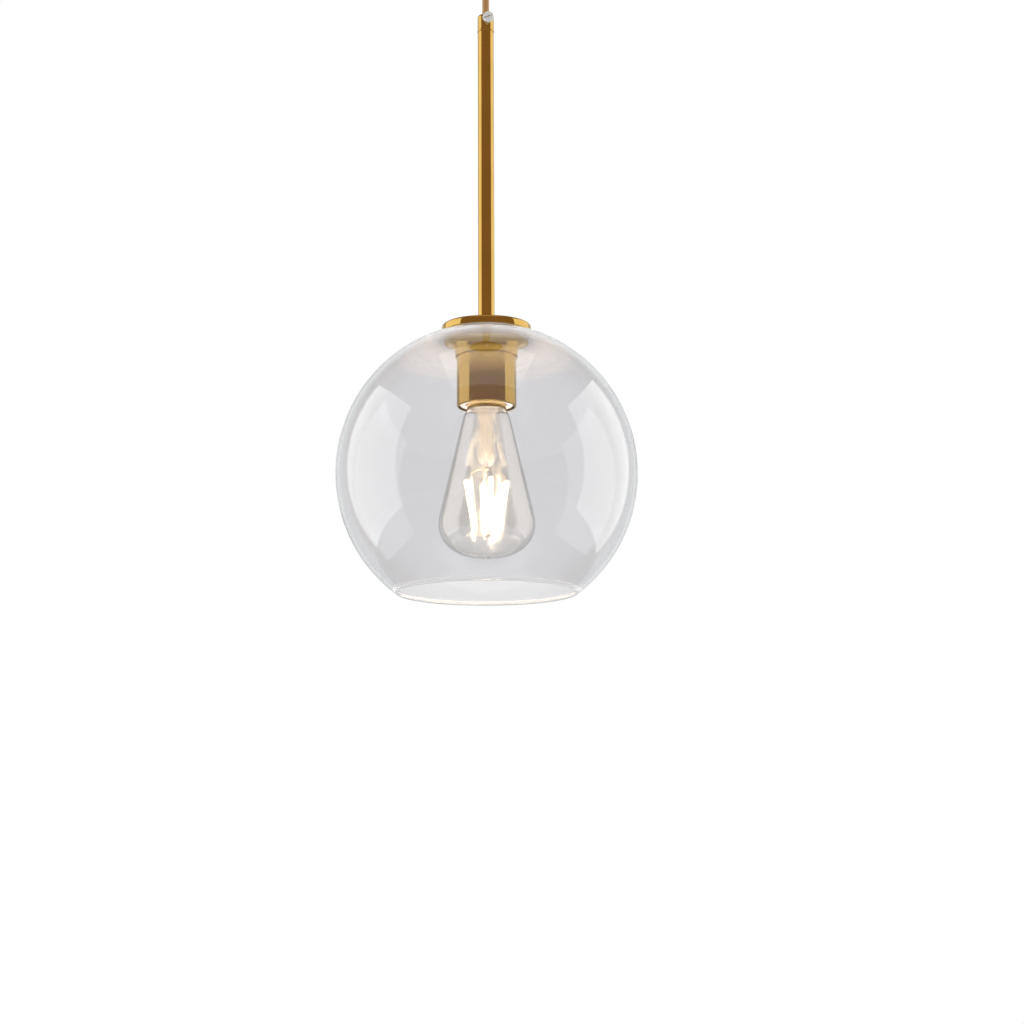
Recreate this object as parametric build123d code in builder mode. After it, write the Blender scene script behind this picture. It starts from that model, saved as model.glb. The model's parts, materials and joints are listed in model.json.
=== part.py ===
"""Pendant ceiling light: brass canopy, short cord, brass stem and a clear glass globe round a filament bulb.

Millimetres, +Z up. The origin is on the ceiling, at the centre of the canopy, and the lamp hangs below it.
Each piece is written to parts/NAME.step; identical fasteners share a file.
"""

from build123d import *
from math import asin, cos, radians, sin, sqrt
import os

# ---------------------------------------------------------------- driving dimensions
# Ceiling canopy and its crossbar
canopy_radius = 50.0
canopy_height = 25.0
canopy_wall = 1.0
canopy_edge = 2.5  # rounding of the canopy's lower edge
bar_width = 18.0
bar_thick = 2.0
bar_leg = 15.0  # how far the crossbar's bent ends come down
slot_inset = 16.0  # from the canopy's outside to each slot's middle
slot_length = 11.0
slot_width = 4.6
feed_place = 13.0
feed_hole_radius = 4.5
side_screw_radius = 2.0  # M4
side_screw_drop = 9.0  # below the ceiling
side_head_radius = 4.5
side_head_length = 5.0

# Terminal block and earth screw on the crossbar
block_place = 17.0  # from the axis to the block's middle
block_length = 15.0
block_width = 17.0
block_height = 11.0
way_spacing = 9.0
clamp_radius = 2.4
clamp_bore = 1.7
clamp_length = 13.0
clamp_screw_radius = 1.3
clamp_screw_spacing = 7.0
block_screw_radius = 1.5
earth_place = 23.0

# Cord, its cores and its two grips
cord_radius = 2.35
core_radius = 0.85
sheath_wall = 0.25  # of the cord, outside its cores
free_cord = 60.0
grip_proud = 0.1  # how far a grip stands out from the stem
grip_height = 12.0
grip_edge = 1.5
grip_bead = 0.2  # how far the bead at a grip's foot stands out
grip_stub = 9.0  # length of a grip's threaded stub
lock_drop = 3.3  # from a grip's mouth to its lock screw
lock_shank_radius = 1.5
lock_head_radius = 3.7
lock_head_length = 3.4
lock_head_edge = 0.8
lock_turn = 15.0  # degrees that the lock screws are turned from -Y towards +X

# Stem and the M10x1 thread that joins the lamp
stem_length = 207.0
stem_skin = 0.8  # of the stem outside its tapped ends
stem_wall = 1.0
thread_radius = 4.7
nipple_wall = 1.4
nut_width = 2.3  # from the thread to each flat
nut_height = 3.2

# Cap, glass globe and the ring that holds it
cap_inset = 1.2  # of the cap from the collar's edge
cap_height = 5.2
sheet_brass = 1.0
gasket_thick = 0.8
globe_radius = 100.0
glass_wall = 2.6
collar_margin = 2.7  # how far the globe's flat collar reaches beyond the ring
collar_thick = 3.0
hole_gap = 2.0  # between the cup and the globe's hole
mouth_radius = 60.0
ring_height = 12.0
ring_flange = 8.5  # how far the ring stands out from the cup
ring_lip = 0.95

# Lampholder and its cup
cup_radius = 20.0
cup_wall = 0.8
cup_length = 55.0
cup_lip = 1.2  # how far the cup's lower edge turns in
holder_gap = 1.2  # between the porcelain and the cup
holder_recess = 1.0  # of the porcelain behind the cup's edge
holder_height = 34.0
holder_floor = 8.0
liner_wall = 0.4
liner_recess = 2.0
leaf_thick = 0.6
leaf_width = 5.0
button_height = 1.05
post_place = 9.0  # from the axis to each terminal post
post_radius = 2.8
post_height = 6.0
rivet_radius = 1.5
strap_rise = 10.0  # from the porcelain's top to the strap's
strap_thick = 1.5
strap_width = 12.0
strap_reach = 13.0
strap_foot = 17.5
strap_screw_place = 15.3
small_screw_radius = 1.25

# Bulb: an E27 cap and a pear-shaped envelope
shell_radius = 13.1
shell_length = 22.0
shell_wall = 0.35
shell_shows = 3.0  # how much of the screw shell stands out of the porcelain
insulator_height = 3.6
tip_height = 0.7
bulb_radius = 32.0
bulb_length = 100.5  # of the glass, from the shell's rim to its foot
bulb_wall = 0.8
cone_head = (15.6, 4.5)  # distance from the axis, and depth below the shell's rim
cone_foot = (30.6, 68.0)
belly_depth = 77.0
mount_radius = 5.0
filament_radius = 0.9
filament_head = (13.6, 48.0)  # distance from the axis, and depth below the shell's rim
filament_foot = (8.2, 81.0)
lead_radius = 0.4
hub_radius = 1.6
filament_count = 4
filament_turn = 12.0

# Fits
thread_gap = 0.05  # radial, between a screw or a plug and its hole
slip_gap = 0.3  # between pieces that pass each other

# ---------------------------------------------------------------- radii that follow from the fits
tap_radius = thread_radius + thread_gap
cord_bore = cord_radius + thread_gap
core_spread = cord_radius - sheath_wall - core_radius  # from the cord's axis to each core's
stem_radius = thread_radius + stem_skin
grip_radius = stem_radius + grip_proud
nipple_bore = thread_radius - nipple_wall
nut_across = 2 * (thread_radius + nut_width)
hole_radius = cup_radius + hole_gap
ring_flange_radius = cup_radius + ring_flange
collar_radius = ring_flange_radius + collar_margin
cap_radius = collar_radius - cap_inset
holder_radius = cup_radius - cup_wall - holder_gap
slot_spacing = 2 * (canopy_radius - slot_inset)

# ---------------------------------------------------------------- levels, from the ceiling down
canopy_face = -canopy_height
canopy_mouth = canopy_face - grip_height
stem_mouth = canopy_mouth - free_cord
stem_top = stem_mouth - grip_height
cap_top = stem_top - stem_length
cup_top = cap_top - sheet_brass
cup_foot = cup_top - cup_length
nut_top = cup_top - cup_wall
collar_top = cap_top - cap_height - gasket_thick
ring_top = collar_top - collar_thick - gasket_thick
ring_foot = ring_top - ring_height
collar_height = sqrt(globe_radius**2 - collar_radius**2)  # from the globe's centre
globe_z = collar_top - collar_height
holder_foot = cup_foot + holder_recess
holder_top = holder_foot + holder_height
floor_z = holder_top - holder_floor
strap_top = holder_top + strap_rise
nipple_foot = strap_top - strap_thick - 1.0
nipple_head = cap_top + grip_stub + 3.0
shell_rim = holder_foot - shell_shows
shell_top = shell_rim + shell_length
insulator_top = shell_top + insulator_height

sheath_foot = nipple_foot - 0.5
sheath_head = canopy_face + grip_stub + 0.5

os.makedirs("parts", exist_ok=True)


def save(piece, name):
    """Labels a finished piece and writes it as one STEP file."""
    piece.part.label = name
    export_step(piece.part, f"parts/{name}.step")
    solids = piece.part.solids()
    print(f"{name}: {len(solids)} solid(s), {sum(s.volume for s in solids):.1f} mm3")


def rod(start, end, radius, mode=Mode.ADD):
    """Adds or cuts a straight round rod between two points."""
    run = Vector(*end) - Vector(*start)
    with BuildSketch(Plane(origin=start, z_dir=run)) as outline:
        Circle(radius)
    extrude(outline.sketch, amount=run.length, mode=mode)


def disc(radius, low, high, mode=Mode.ADD, x=0, y=0):
    """Adds or cuts an upright cylinder between two levels."""
    rod((x, y, low), (x, y, high), radius, mode)


def lathe(*points):
    """Turns a closed outline of (radius, z) points about the Z axis."""
    with BuildSketch(Plane.XZ) as outline:
        with BuildLine():
            Polyline(*points, close=True)
        make_face()
    revolve(outline.sketch, axis=Axis.Z)


def wire(points, radius, bend):
    """Adds a round wire of straight runs joined by arcs."""
    with BuildLine() as route:
        FilletPolyline(*points, radius=bend)
    with BuildSketch(Plane(origin=route.line @ 0, z_dir=route.line % 0)) as outline:
        Circle(radius)
    sweep(outline.sketch, path=route.line)


# ---------------------------------------------------------------- ceiling crossbar
leg_face = sqrt((canopy_radius - canopy_wall) ** 2 - (bar_width / 2) ** 2) - slip_gap
leg_inner = leg_face - bar_thick

with BuildPart() as mounting_bracket:
    with BuildSketch(Plane.XZ.offset(-bar_width / 2)):
        with BuildLine():
            Polyline(
                (-leg_face, -bar_leg),
                (-leg_face, 0),
                (leg_face, 0),
                (leg_face, -bar_leg),
                (leg_inner, -bar_leg),
                (leg_inner, -bar_thick),
                (-leg_inner, -bar_thick),
                (-leg_inner, -bar_leg),
                close=True,
            )
        make_face()
    extrude(amount=bar_width)
    fillet(mounting_bracket.edges().filter_by(Axis.Y).group_by(Axis.Z)[-1], radius=0.9 * bar_thick)
    with BuildSketch(Plane.XY.offset(-bar_thick)):
        with Locations((-slot_spacing / 2, 0), (slot_spacing / 2, 0)):
            SlotOverall(slot_length, slot_width)
    extrude(amount=bar_thick, mode=Mode.SUBTRACT)
    disc(feed_hole_radius, -bar_thick, 0, Mode.SUBTRACT, x=feed_place)
    disc(side_screw_radius + thread_gap, -bar_thick, 0, Mode.SUBTRACT, x=earth_place)
    disc(block_screw_radius + thread_gap, -bar_thick, 0, Mode.SUBTRACT, x=-block_place)
    rod(
        (-leg_face, 0, -side_screw_drop),
        (leg_face, 0, -side_screw_drop),
        side_screw_radius + thread_gap,
        Mode.SUBTRACT,
    )
save(mounting_bracket, "mounting_bracket")

# ---------------------------------------------------------------- canopy and its two side screws
with BuildPart() as canopy:
    disc(canopy_radius, canopy_face, 0)
    fillet(canopy.edges().sort_by(Axis.Z)[0], radius=canopy_edge)
    offset(amount=-canopy_wall, openings=canopy.faces().sort_by(Axis.Z)[-1])
    disc(tap_radius, canopy_face, canopy_face + canopy_wall, Mode.SUBTRACT)
    rod(
        (-canopy_radius, 0, -side_screw_drop),
        (canopy_radius, 0, -side_screw_drop),
        side_screw_radius + slip_gap,
        Mode.SUBTRACT,
    )
save(canopy, "canopy")

side_head_seat = canopy_radius + thread_gap
side_head_face = side_head_seat + side_head_length
with BuildPart() as canopy_side_screws:
    for side in (-1, 1):
        rod(
            (side * (leg_inner - 2.0), 0, -side_screw_drop),
            (side * side_head_seat, 0, -side_screw_drop),
            side_screw_radius,
        )
        rod(
            (side * side_head_seat, 0, -side_screw_drop),
            (side * side_head_face, 0, -side_screw_drop),
            side_head_radius,
        )
    ends = canopy_side_screws.edges().filter_by(GeomType.CIRCLE).group_by(Axis.X)
    fillet(ends[0] + ends[-1], radius=1.2)
save(canopy_side_screws, "canopy_side_screws")

# ---------------------------------------------------------------- terminal block on the crossbar
block_foot = -bar_thick - block_height
way_z = -bar_thick - block_height / 2
way_places = (way_spacing / 2, -way_spacing / 2)
screw_places = [
    (-block_place + end * clamp_screw_spacing / 2, y) for y in way_places for end in (-1, 1)
]

with BuildPart() as terminal_block:
    with BuildSketch(Plane.XY.offset(block_foot)):
        with Locations((-block_place, 0)):
            RectangleRounded(block_length, block_width, 1.5)
    extrude(amount=block_height)
    for y in way_places:
        rod(
            (-block_place - block_length / 2, y, way_z),
            (-block_place + block_length / 2, y, way_z),
            clamp_radius + thread_gap,
            Mode.SUBTRACT,
        )
    for x, y in screw_places:
        disc(clamp_screw_radius + slip_gap, block_foot, way_z, Mode.SUBTRACT, x, y)
    disc(block_screw_radius + thread_gap, block_foot, -bar_thick, Mode.SUBTRACT, x=-block_place)
save(terminal_block, "terminal_block")

for name, y in zip(("terminal_clamp_live", "terminal_clamp_neutral"), way_places):
    with BuildPart() as terminal_clamp:
        rod(
            (-block_place - clamp_length / 2, y, way_z),
            (-block_place + clamp_length / 2, y, way_z),
            clamp_radius,
        )
        rod(
            (-block_place - clamp_length / 2, y, way_z),
            (-block_place + clamp_length / 2, y, way_z),
            clamp_bore,
            Mode.SUBTRACT,
        )
        for end in (-1, 1):
            x = -block_place + end * clamp_screw_spacing / 2
            disc(clamp_screw_radius + thread_gap, way_z - clamp_radius, way_z, Mode.SUBTRACT, x, y)
    save(terminal_clamp, name)

clamp_screw_tip = way_z - core_radius - thread_gap
with BuildPart() as terminal_screws:
    for x, y in screw_places:
        disc(clamp_screw_radius, block_foot + 1.0, clamp_screw_tip, x=x, y=y)
save(terminal_screws, "terminal_screws")

with BuildPart() as block_screw:
    disc(block_screw_radius, block_foot, 0, x=-block_place)
    disc(2 * block_screw_radius, block_foot - 1.8, block_foot - thread_gap, x=-block_place)
    disc(block_screw_radius, block_foot - thread_gap, block_foot, x=-block_place)
save(block_screw, "block_screw")

earth_core_z = -bar_thick - thread_gap - core_radius
earth_head_z = earth_core_z - core_radius - thread_gap
with BuildPart() as earth_screw:
    disc(side_screw_radius, earth_head_z, 0, x=earth_place)
    disc(2 * side_screw_radius, earth_head_z - 2.4, earth_head_z, x=earth_place)
save(earth_screw, "earth_screw")

# ---------------------------------------------------------------- cord grips and their lock screws
lock_x = sin(radians(lock_turn))
lock_y = -cos(radians(lock_turn))


def lock_point(distance, z):
    """Point on a lock screw's axis, at a distance from the cord's axis."""
    return (distance * lock_x, distance * lock_y, z)


def cord_grip(mouth, foot, name):
    """A turned brass grip with a threaded stub, and the clear screw that pinches the cord in it."""
    inward = 1 if foot > mouth else -1
    lock_z = mouth + inward * lock_drop
    stub_end = foot + inward * grip_stub
    with BuildPart() as grip:
        disc(grip_radius, mouth, foot)
        rim = grip.edges().filter_by(GeomType.CIRCLE).sort_by_distance((0, 0, mouth))[0]
        fillet(rim, radius=grip_edge)
        disc(grip_radius + grip_bead, foot - inward * 1.2, foot)
        disc(thread_radius, foot, stub_end)
        disc(cord_bore, mouth, stub_end, Mode.SUBTRACT)
        rod(
            (0, 0, lock_z),
            lock_point(2 * grip_radius, lock_z),
            lock_shank_radius + thread_gap,
            Mode.SUBTRACT,
        )
    save(grip, name)

    head_seat = grip_radius + thread_gap
    with BuildPart() as screw:
        rod(lock_point(cord_radius + thread_gap, lock_z), lock_point(head_seat, lock_z), lock_shank_radius)
        rod(
            lock_point(head_seat, lock_z),
            lock_point(head_seat + lock_head_length, lock_z),
            lock_head_radius,
        )
        circles = screw.edges().filter_by(GeomType.CIRCLE)
        fillet(circles.sort_by_distance(lock_point(2 * grip_radius, lock_z))[0], radius=lock_head_edge)
    save(screw, name + "_lock_screw")


cord_grip(canopy_mouth, canopy_face, "canopy_grip")
cord_grip(stem_mouth, stem_top, "stem_grip")


def hex_nut(low, name):
    """A flat hexagon nut on the M10x1 thread, standing on a level."""
    with BuildPart() as nut:
        with BuildSketch(Plane.XY.offset(low)) as outline:
            RegularPolygon(nut_across / 2, 6, major_radius=False)
            Circle(tap_radius, mode=Mode.SUBTRACT)
        extrude(outline.sketch, amount=nut_height)
    save(nut, name)


hex_nut(canopy_face + canopy_wall, "canopy_nut")

# ---------------------------------------------------------------- cord: held ends, free stretch and cores
with BuildPart() as cord_in_canopy:
    disc(cord_radius, canopy_mouth, sheath_head)
save(cord_in_canopy, "cord_in_canopy")

with BuildPart() as cord:
    disc(cord_radius, stem_mouth + slip_gap, canopy_mouth - slip_gap)
    fillet(cord.edges().filter_by(GeomType.CIRCLE), radius=0.98 * cord_radius)
save(cord, "cord")

with BuildPart() as cord_in_stem:
    disc(cord_radius, sheath_foot, stem_mouth)
save(cord_in_stem, "cord_in_stem")

core_bend = 1.4
core_start = sheath_head + thread_gap
clamp_face = -block_place + block_length / 2
for name, side in (("canopy_core_live", 1), ("canopy_core_neutral", -1)):
    y = side * way_spacing / 2
    with BuildPart() as canopy_core:
        wire(
            [
                (-core_spread * 0.5, side * core_spread * 0.87, core_start),
                (-core_spread * 0.5, side * core_spread * 0.87, core_start + 3.5),
                (clamp_face + 3.5, y, way_z),
                (-block_place, y, way_z),
            ],
            core_radius,
            core_bend,
        )
    save(canopy_core, name)

with BuildPart() as canopy_core_earth:
    wire(
        [
            (core_spread, 0, core_start),
            (core_spread, 0, core_start + 6),
            (feed_place, -side_screw_radius - core_radius - thread_gap, earth_core_z),
            (earth_place + 2, -side_screw_radius - core_radius - thread_gap, earth_core_z),
        ],
        core_radius,
        core_bend,
    )
save(canopy_core_earth, "canopy_core_earth")

# ---------------------------------------------------------------- stem, nipple and nut
with BuildPart() as stem:
    disc(stem_radius, cap_top, stem_top)
    disc(stem_radius - stem_wall, cap_top, stem_top, Mode.SUBTRACT)
    disc(tap_radius, stem_top - grip_stub - 1.0, stem_top, Mode.SUBTRACT)
    disc(tap_radius, cap_top, nipple_head + 1.0, Mode.SUBTRACT)
save(stem, "stem")

with BuildPart() as nipple:
    disc(thread_radius, nipple_foot, nipple_head)
    disc(nipple_bore, nipple_foot, nipple_head, Mode.SUBTRACT)
save(nipple, "nipple")

hex_nut(nut_top - nut_height, "nipple_nut")

# ---------------------------------------------------------------- cap, cup, globe, ring and gaskets
with BuildPart() as top_cap:
    lathe(
        (tap_radius, cap_top),
        (cap_radius, cap_top),
        (cap_radius, cap_top - cap_height),
        (cap_radius - sheet_brass, cap_top - cap_height),
        (cap_radius - sheet_brass, cap_top - sheet_brass),
        (tap_radius, cap_top - sheet_brass),
    )
    crown = top_cap.edges().filter_by(GeomType.CIRCLE).group_by(Axis.Z)[-1].sort_by(SortBy.RADIUS)[-1]
    fillet(crown, radius=1.6)
save(top_cap, "top_cap")

with BuildPart() as socket_cup:
    inner = cup_radius - cup_wall
    lathe(
        (tap_radius, cup_top),
        (cup_radius, cup_top),
        (cup_radius, cup_foot + cup_lip),
        (cup_radius - 0.3 * cup_lip, cup_foot + 0.3 * cup_lip),
        (cup_radius - cup_lip, cup_foot),
        (inner - cup_lip + 0.2, cup_foot + 0.5 * cup_wall),
        (inner, cup_foot + cup_lip + 0.4),
        (inner, cup_top - cup_wall),
        (tap_radius, cup_top - cup_wall),
    )
save(socket_cup, "socket_cup")

gasket_inner = hole_radius + 0.5
for name, top, outer in (
    ("upper_gasket", collar_top + gasket_thick, cap_radius - 0.4),
    ("lower_gasket", ring_top + gasket_thick, ring_flange_radius - 0.4),
):
    with BuildPart() as gasket:
        disc(outer, top - gasket_thick, top)
        disc(gasket_inner, top - gasket_thick, top, Mode.SUBTRACT)
    save(gasket, name)

inner_globe = globe_radius - glass_wall
collar_foot = collar_height - collar_thick
collar_inner = sqrt(inner_globe**2 - collar_foot**2)
mouth_turn = asin(mouth_radius / globe_radius)  # from straight down out to the mouth's edge
mouth_round = 0.5 * glass_wall / globe_radius


def on_globe(radius, turn):
    """Point at a radius from the globe's centre, turned up from straight down."""
    return (radius * sin(turn), -radius * cos(turn))


with BuildPart() as glass_globe:
    with BuildSketch(Plane(origin=(0, 0, globe_z), x_dir=(1, 0, 0), z_dir=(0, -1, 0))):
        with BuildLine():
            Polyline(
                (collar_inner, collar_foot),
                (hole_radius, collar_foot),
                (hole_radius, collar_height),
                (collar_radius, collar_height),
            )
            ThreePointArc(
                (collar_radius, collar_height),
                (globe_radius, 0),
                on_globe(globe_radius, mouth_turn),
            )
            ThreePointArc(
                on_globe(globe_radius, mouth_turn),
                on_globe(globe_radius - glass_wall / 2, mouth_turn - mouth_round),
                on_globe(inner_globe, mouth_turn),
            )
            ThreePointArc(
                on_globe(inner_globe, mouth_turn),
                (inner_globe, 0),
                (collar_inner, collar_foot),
            )
        make_face()
    revolve(axis=Axis.Z)
save(glass_globe, "glass_globe")

ring_bore = cup_radius + thread_gap
ring_edge = 1.2
with BuildPart() as shade_ring:
    with BuildSketch(Plane.XZ):
        with BuildLine():
            Line((ring_bore, ring_foot), (ring_bore + ring_lip, ring_foot))
            Spline(
                (ring_bore + ring_lip, ring_foot),
                (ring_flange_radius, ring_top - ring_edge),
                tangents=((0, 1), (1, 0.15)),
            )
            Line((ring_flange_radius, ring_top - ring_edge), (ring_flange_radius, ring_top))
            Line((ring_flange_radius, ring_top), (ring_bore, ring_top))
            Line((ring_bore, ring_top), (ring_bore, ring_foot))
        make_face()
    revolve(axis=Axis.Z)
save(shade_ring, "shade_ring")

# ---------------------------------------------------------------- lampholder
liner_inner = shell_radius + thread_gap
liner_outer = liner_inner + liner_wall
holder_bore = liner_outer + thread_gap
leaf_top = floor_z - thread_gap
leaf_foot = leaf_top - leaf_thick

with BuildPart() as lampholder_body:
    disc(holder_radius, holder_foot, holder_top)
    fillet(lampholder_body.edges().filter_by(GeomType.CIRCLE), radius=1.0)
    disc(holder_bore, holder_foot, floor_z, Mode.SUBTRACT)
    for side in (-1, 1):
        disc(rivet_radius + thread_gap, floor_z, holder_top, Mode.SUBTRACT, y=side * post_place)
        disc(
            small_screw_radius + thread_gap,
            holder_top - 0.75 * holder_floor,
            holder_top,
            Mode.SUBTRACT,
            x=side * strap_screw_place,
        )
save(lampholder_body, "lampholder_body")

with BuildPart() as screw_liner:
    disc(liner_outer, holder_foot + liner_recess, leaf_top)
    disc(liner_inner, holder_foot + liner_recess, leaf_top, Mode.SUBTRACT)
    with BuildSketch(Plane.XY.offset(leaf_foot)) as flange:
        Circle(liner_outer)
        with Locations((0, post_place - rivet_radius - 1.0 - liner_outer)):
            Rectangle(2 * liner_outer, 2 * liner_outer, mode=Mode.SUBTRACT)
    extrude(flange.sketch, amount=leaf_thick)
    disc(rivet_radius + thread_gap, leaf_foot, leaf_top, Mode.SUBTRACT, y=post_place)
save(screw_liner, "screw_liner")

with BuildPart() as centre_contact:
    with BuildSketch(Plane.XY.offset(leaf_foot)) as leaf:
        with Locations((0, -post_place / 2)):
            SlotOverall(post_place + leaf_width, leaf_width, rotation=90)
    extrude(leaf.sketch, amount=leaf_thick)
    disc(0.48 * leaf_width, leaf_foot - button_height, leaf_foot)
    disc(rivet_radius + thread_gap, leaf_foot, leaf_top, Mode.SUBTRACT, y=-post_place)
save(centre_contact, "centre_contact")

core_z = holder_top + post_height / 2
rivet_foot = leaf_foot - thread_gap
for name, side in (("live_terminal", -1), ("neutral_terminal", 1)):
    with BuildPart() as terminal:
        disc(post_radius, holder_top + thread_gap, holder_top + post_height, y=side * post_place)
        disc(rivet_radius, rivet_foot, holder_top + thread_gap, y=side * post_place)
        disc(rivet_radius + 0.6, rivet_foot - 0.6, rivet_foot, y=side * post_place)
        rod(
            (0, side * (post_place - post_radius), core_z),
            (0, side * (post_place + post_radius), core_z),
            core_radius + thread_gap,
            Mode.SUBTRACT,
        )
        disc(
            small_screw_radius + thread_gap,
            core_z,
            holder_top + post_height,
            Mode.SUBTRACT,
            y=side * post_place,
        )
    save(terminal, name)

with BuildPart() as holder_terminal_screws:
    for side in (-1, 1):
        disc(
            small_screw_radius,
            core_z + core_radius + thread_gap,
            holder_top + post_height + 1.2,
            y=side * post_place,
        )
save(holder_terminal_screws, "holder_terminal_screws")

strap_inner = strap_reach - strap_thick
strap_foot_top = holder_top + strap_thick
earth_terminal_z = holder_top + 0.45 * strap_rise
with BuildPart() as holder_strap:
    with BuildSketch(Plane.XZ.offset(-strap_width / 2)) as outline:
        with BuildLine():
            Polyline(
                (-strap_foot, holder_top),
                (-strap_foot, strap_foot_top),
                (-strap_reach, strap_foot_top),
                (-strap_reach, strap_top),
                (strap_reach, strap_top),
                (strap_reach, strap_foot_top),
                (strap_foot, strap_foot_top),
                (strap_foot, holder_top),
                (strap_inner, holder_top),
                (strap_inner, strap_top - strap_thick),
                (-strap_inner, strap_top - strap_thick),
                (-strap_inner, holder_top),
                close=True,
            )
        make_face()
    extrude(outline.sketch, amount=strap_width)
    disc(tap_radius, strap_top - strap_thick, strap_top, Mode.SUBTRACT)
    for side in (-1, 1):
        disc(
            small_screw_radius + thread_gap,
            holder_top,
            strap_foot_top,
            Mode.SUBTRACT,
            x=side * strap_screw_place,
        )
    rod(
        (strap_inner, 0, earth_terminal_z),
        (strap_reach, 0, earth_terminal_z),
        small_screw_radius + thread_gap,
        Mode.SUBTRACT,
    )
save(holder_strap, "holder_strap")

with BuildPart() as strap_screws:
    for side in (-1, 1):
        x = side * strap_screw_place
        disc(small_screw_radius, holder_top - 0.7 * holder_floor, strap_foot_top, x=x)
        disc(1.7 * small_screw_radius, strap_foot_top, strap_foot_top + 1.5, x=x)
save(strap_screws, "strap_screws")

earth_core_x = strap_inner - thread_gap - core_radius
earth_head_x = earth_core_x - core_radius - thread_gap
with BuildPart() as holder_earth_screw:
    rod((earth_head_x, 0, earth_terminal_z), (strap_reach + 0.8, 0, earth_terminal_z), small_screw_radius)
    rod(
        (earth_head_x - 1.5, 0, earth_terminal_z),
        (earth_head_x, 0, earth_terminal_z),
        2.2 * small_screw_radius,
    )
save(holder_earth_screw, "holder_earth_screw")

core_foot = sheath_foot - thread_gap
for name, side in (("holder_core_live", -1), ("holder_core_neutral", 1)):
    with BuildPart() as holder_core:
        wire(
            [
                (0, side * core_spread, core_foot),
                (0, side * core_spread, core_z),
                (0, side * (post_place + 0.8 * post_radius), core_z),
            ],
            core_radius,
            core_bend,
        )
    save(holder_core, name)

earth_run_z = holder_top + core_radius + 0.4
earth_core_y = small_screw_radius + core_radius + thread_gap
with BuildPart() as holder_core_earth:
    wire(
        [
            (core_spread, 0, core_foot),
            (core_spread, 0, earth_run_z),
            (earth_core_x, earth_core_y, earth_run_z),
            (earth_core_x, earth_core_y, earth_terminal_z + 2.0),
        ],
        core_radius,
        1.0,
    )
save(holder_core_earth, "holder_core_earth")

# ---------------------------------------------------------------- bulb
shoulder = 1.6  # height and width of the shell's sloping top
with BuildPart() as bulb_shell:
    lathe(
        (shell_radius, shell_rim),
        (shell_radius, shell_top - shoulder),
        (shell_radius - shoulder, shell_top),
        (shell_radius - shoulder - shell_wall, shell_top),
        (shell_radius - shell_wall, shell_top - shoulder - 0.2),
        (shell_radius - shell_wall, shell_rim),
    )
save(bulb_shell, "bulb_shell")

tip_radius = 4.6
tip_stud = 2.8
with BuildPart() as bulb_insulator:
    lathe(
        (tip_stud + thread_gap, shell_top),
        (shell_radius - shoulder, shell_top + thread_gap),
        (tip_radius + 0.4, insulator_top),
        (tip_stud + thread_gap, insulator_top),
    )
save(bulb_insulator, "bulb_insulator")

with BuildPart() as bulb_tip_contact:
    disc(tip_stud, shell_top, insulator_top + thread_gap)
    disc(tip_radius, insulator_top + thread_gap, insulator_top + thread_gap + tip_height)
save(bulb_tip_contact, "bulb_tip_contact")

neck_radius = shell_radius - shell_wall - thread_gap
neck_top = shell_rim + 9.0


def envelope(inset):
    """The envelope's outline, drawn in by an inset: a neck, a straight cone, a belly and a rounded foot."""
    neck = (neck_radius - inset, shell_rim)
    head = (cone_head[0] - inset, shell_rim - cone_head[1])
    end = (cone_foot[0] - inset, shell_rim - cone_foot[1])
    belly = (bulb_radius - inset, shell_rim - belly_depth)
    slope = (end[0] - head[0], end[1] - head[1])
    Line((neck[0], neck_top), neck)
    Spline(neck, head, tangents=((0, -1), slope))
    Line(head, end)
    Spline(end, belly, tangents=(slope, (0, -1)))
    Spline(belly, (0, shell_rim - bulb_length + inset), tangents=((0, -1), (-1, 0)))


with BuildPart() as bulb_envelope:
    with BuildSketch(Plane.XZ):
        with BuildLine():
            envelope(0)
            envelope(bulb_wall)
            Line((neck_radius, neck_top), (neck_radius - bulb_wall, neck_top))
            Line((0, shell_rim - bulb_length), (0, shell_rim - bulb_length + bulb_wall))
        make_face()
    revolve(axis=Axis.Z)
save(bulb_envelope, "bulb_envelope")

flare = neck_radius - bulb_wall - thread_gap
mount_wall = 0.8
mount_foot = shell_rim - 34.0
pinch_height = 5.0
with BuildPart() as glass_mount:
    lathe(
        (flare, neck_top - 1.0),
        (flare, neck_top - 3.0),
        (mount_radius + 2.5, shell_rim),
        (mount_radius, shell_rim - 8.0),
        (mount_radius, mount_foot),
        (mount_radius - mount_wall, mount_foot),
        (mount_radius - mount_wall, shell_rim - 8.0),
        (mount_radius + 2.5 - mount_wall, shell_rim),
        (flare - mount_wall, neck_top - 2.5),
        (flare - mount_wall, neck_top - 1.0),
    )
    with BuildSketch(Plane.XY.offset(mount_foot - pinch_height)) as pinch:
        RectangleRounded(2.1 * mount_radius, 4.0, 1.8)
    extrude(pinch.sketch, amount=pinch_height + 0.5)
save(glass_mount, "glass_mount")

filament_turns = [radians(filament_turn + i * 360 / filament_count) for i in range(filament_count)]
head_z = shell_rim - filament_head[1]
foot_z = shell_rim - filament_foot[1]


def spoke(turn, radius, z):
    """Point at a distance from the bulb's axis, in a filament's direction."""
    return (radius * cos(turn), radius * sin(turn), z)


with BuildPart() as led_filaments:
    for turn in filament_turns:
        rod(spoke(turn, filament_head[0], head_z), spoke(turn, filament_foot[0], foot_z), filament_radius)
save(led_filaments, "led_filaments")

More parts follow.
